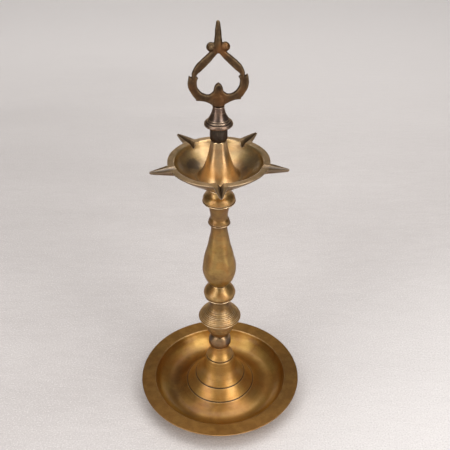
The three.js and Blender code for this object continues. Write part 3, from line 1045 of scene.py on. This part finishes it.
def make_loop():
    foot = foot_of("finial_loop")
    shape = bpy.data.curves.new("heart", "CURVE")
    shape.dimensions = "2D"
    shape.fill_mode = "BOTH"
    bevel = 1.35
    shape.extrude = (LOOP_THICK / 2 - bevel) * MM
    shape.bevel_depth = bevel * MM
    shape.bevel_resolution = 1
    shape.offset = -bevel * MM
    for outline in heart():
        line = shape.splines.new("POLY")
        line.points.add(len(outline) - 1)
        for p, (x, z) in zip(line.points, outline):
            p.co = (x * MM, z * MM, 0, 1)
        line.use_cyclic_u = True
    flat = bpy.data.objects.new("heart", shape)
    bpy.context.scene.collection.objects.link(flat)
    bpy.context.view_layer.update()
    mesh = bpy.data.meshes.new_from_object(flat.evaluated_get(bpy.context.evaluated_depsgraph_get()))
    bpy.data.objects.remove(flat)
    bpy.data.curves.remove(shape)
    co = np.array([v.co for v in mesh.vertices])
    faces = [tuple(p.vertices) for p in mesh.polygons]
    bpy.data.meshes.remove(mesh)
    verts = [np.stack([co[:, 0], -co[:, 2], co[:, 1]], 1)]

    def take(obj):
        shift = sum(len(v) for v in verts)
        verts.append(np.array([v.co for v in obj.data.vertices]))
        faces.extend(tuple(i + shift for i in p.vertices) for p in obj.data.polygons)
        drop(obj)

    spike = [
        (0, 42), (2.6, 43.4), (3.3, 46), (3.25, 50), (2.8, 55),
        (2.35, 60), (1.9, 64), (1.5, 66.3), (0.8, 67.3), (0, 67.6),
    ]
    take(shaped(turned("spike", spike, 0, 28), (1, 0.95, 1), (0, 0, 0)))
    boss = [(0, 0), (4.6, 0), (4.9, 3.6), (4.3, 8), (2.8, 12), (1.3, 14.2), (0, 14.8)]
    take(shaped(turned("boss", boss, 0, 36), (1.12, 0.72, 1), (0, 0, 0)))
    arc = np.linspace(-math.pi / 2, math.pi / 2, 17)
    round_profile = np.stack([np.cos(arc), np.sin(arc)], 1)
    round_profile[[0, -1], 0] = 0
    for side in (-1, 1):
        ball = turned("ball", round_profile, 0, 32)
        take(shaped(ball, (3.75, 3.1, 3.75), (side * 5.3, 0, 47.4)))
        for face in (-1, 1):
            eye = turned("eye", round_profile, 0, 24)
            take(shaped(eye, (1.7, 1.1, 1.7), (side * 5.6, face * 2.7, 47.6)))
    obj = new_object("heart_loop", np.concatenate(verts), faces)
    m = obj.modifiers.new("cast", "REMESH")
    m.mode = "VOXEL"
    m.voxel_size = 0.33 * MM
    apply_modifiers(obj)
    m = obj.modifiers.new("soften", "SMOOTH")
    m.factor = 0.5
    m.iterations = 2
    apply_modifiers(obj)
    c, s = math.cos(LOOP_TURN), math.sin(LOOP_TURN)
    normals = np.array([v.normal for v in obj.data.vertices])
    for v, nrm in zip(obj.data.vertices, normals):
        q = v.co * 1000
        push = 0.16 * noise.noise(q / 3.4) + 0.07 * noise.noise(q / 1.1)
        if v.co.z < 0.5 * MM:
            push = min(push, 0)
        x, y, z = v.co + Vector(nrm) * (push - 0.06) * MM
        v.co = (x * c - y * s, x * s + y * c, max(z, 0) + foot)
    obj.data.update()
    finish_piece(obj, "finial", ["finial_loop"], LOOP, sharp=70, soften=2, least=0.2)


def make_stud(node, body, radius, pitch):
    """A stud with a rolled right-hand thread that runs out at both ends."""
    low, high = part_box(node)
    length = (high.z - low.z) * 1000
    depth = pitch * 0.42
    around, along = 40, math.ceil(length / pitch * 9)
    verts, faces = [], []
    for i in range(along + 1):
        h = length * i / along
        end = min(h, length - h)
        for k in range(around):
            a = WHOLE * k / around
            phase = (h / pitch - a / WHOLE) % 1
            flank = min(1, abs(phase - 0.5) * 2 * 1.25)
            r = radius - depth * flank
            r = min(r, radius - max(0, 0.9 - end))
            verts.append((r * math.cos(a), r * math.sin(a), h))
    for i in range(along):
        for k in range(around):
            m = (k + 1) % around
            a, b = i * around, (i + 1) * around
            faces.append((a + k, a + m, b + m, b + k))
    faces.append(tuple(range(around))[::-1])
    faces.append(tuple(range(along * around, (along + 1) * around)))
    obj = new_object(node + "_thread", np.array(verts) * MM + [0, 0, low.z], faces)
    finish_piece(obj, body, [node], STUD, sharp=50, soften=1)


make_tray()
make_bead()
make_lower_stem()
make_disc()
make_upper_stem()
make_seat()
make_bowl()
make_collar()
make_knop()
make_loop()
for stud_body, stud_radius, stud_pitch in (
    ("lower_stem", 4.5, 2),
    ("upper_stem", 4.5, 2),
    ("bowl", 4.5, 2),
    ("finial", 3.4, 1.5),
):
    make_stud(stud_body + "_stud", stud_body, stud_radius, stud_pitch)


# ---------------------------------------------------------------- floor, light and camera

def make_floor():
    """A pale woven ground with painted light: lighter towards the back and in a painted pool of light in
    the near right, and a darker patch in the far left.
    """
    half = 14.0
    corners = [(-half, -half, 0), (half, -half, 0), (half, half, 0), (-half, half, 0)]
    obj = new_object("floor", corners, [(0, 1, 2, 3)])
    n = Nodes("floor")
    stretched = n.scaled((1.0, 3.2, 1.0))
    cloud = n.noise(2.2, 5, 0.6, place=stretched)
    weave = n.noise(38, 4, 0.6, place=stretched)
    tone = n.math("MULTIPLY_ADD", cloud, 0.65, n.product(weave, 0.35))
    colour = n.ramp(tone, [(0.3, (0.52, 0.483, 0.474)), (0.7, (0.63, 0.592, 0.582))])
    # painted light: the floor lightened towards the back
    colour = n.mix(n.span(n.y, 0.1, 1.1), colour, (0.78, 0.74, 0.73))
    gap = n.math("MULTIPLY_ADD", cloud, 0.3, n.away((-0.3, 0.5, 0)))
    colour = n.mix(n.span(gap, 0.15, 0.65, 0.3, 0.0), colour, (0.4, 0.37, 0.36))
    # painted pool of light in the near right
    near = n.math("SUBTRACT", n.product(n.x, 0.75), n.y)
    colour = n.mix(n.span(near, -0.12, 0.26, 0.0, 0.6), colour, (0.84, 0.81, 0.805))
    speck = n.noise(640, 2, 0.7)
    colour = n.mix(n.span(speck, 0.52, 0.7, 0.0, 0.35), colour, (0.4, 0.38, 0.37))
    colour = n.mix(n.span(speck, 0.48, 0.32, 0.0, 0.35), colour, (0.95, 0.93, 0.92))
    n.put(n.shader.inputs["Base Color"], colour)
    n.put(n.shader.inputs["Roughness"], 0.85)
    thread = n.noise(420, 3, 0.6, place=stretched)
    rough = n.math("MULTIPLY_ADD", thread, 0.4, weave)
    n.put(n.shader.inputs["Normal"], n.bump(rough, 0.35, 2 * MM))
    obj.data.materials.append(n.material)


def softbox(name, place, aim, size, power):
    """A soft rectangular lamp, with its size in metres and its power in watts."""
    light = bpy.data.lights.new(name, "AREA")
    light.shape = "RECTANGLE"
    light.size, light.size_y = size
    light.energy = power
    light.color = (1.0, 0.985, 0.965)
    obj = bpy.data.objects.new(name, light)
    bpy.context.scene.collection.objects.link(obj)
    obj.location = place
    obj.rotation_euler = (Vector(aim) - Vector(place)).to_track_quat("-Z", "Y").to_euler()


def make_light():
    softbox("left_box", (-1.0, -1.05, 1.15), (0, 0, 0.2), (0.6, 1.3), 8.5)
    softbox("right_box", (0.95, -1.05, 1.15), (0, 0, 0.2), (0.6, 1.3), 9.5)
    softbox("left_low", (-1.4, -0.92, 0.4), (0, 0, 0.28), (0.5, 0.7), 4)
    softbox("right_low", (1.25, -1.0, 0.4), (0, 0, 0.28), (0.45, 0.7), 4)
    softbox("left_high", (-0.8, -0.3, 1.7), (0, 0, 0.2), (0.8, 0.9), 4)
    softbox("right_high", (0.8, -0.3, 1.7), (0, 0, 0.2), (0.8, 0.9), 7.5)
    softbox("zenith", (0, -0.12, 2.0), (0, 0, 0.1), (1.0, 0.6), 5.5)
    softbox("top", (0, 0.7, 2.6), (0, 0.6, 0), (2.8, 1.5), 24)
    softbox("front", (0, -2.1, 0.55), (0, 0, 0.25), (2.4, 1.1), 6)
    softbox("back", (0, 3.2, 0.65), (0, 0, 0.2), (5.0, 1.1), 22)
    world = bpy.data.worlds.new("studio")
    bpy.context.scene.world = world
    world.use_nodes = True
    sky = world.node_tree.nodes["Background"]
    sky.inputs["Color"].default_value = (1.0, 0.98, 0.965, 1)
    sky.inputs["Strength"].default_value = 0.14


def make_camera():
    lens = bpy.data.cameras.new("camera")
    lens.lens = 56.8
    lens.sensor_width = 36
    lens.clip_start = 0.01
    obj = bpy.data.objects.new("camera", lens)
    bpy.context.scene.collection.objects.link(obj)
    obj.location = (0, -0.50996, 0.55303)
    obj.rotation_euler = (math.radians(55.446), 0, math.radians(-0.569))
    bpy.context.scene.camera = obj


make_floor()
make_light()
make_camera()
bpy.context.scene.view_settings.view_transform = "Standard"
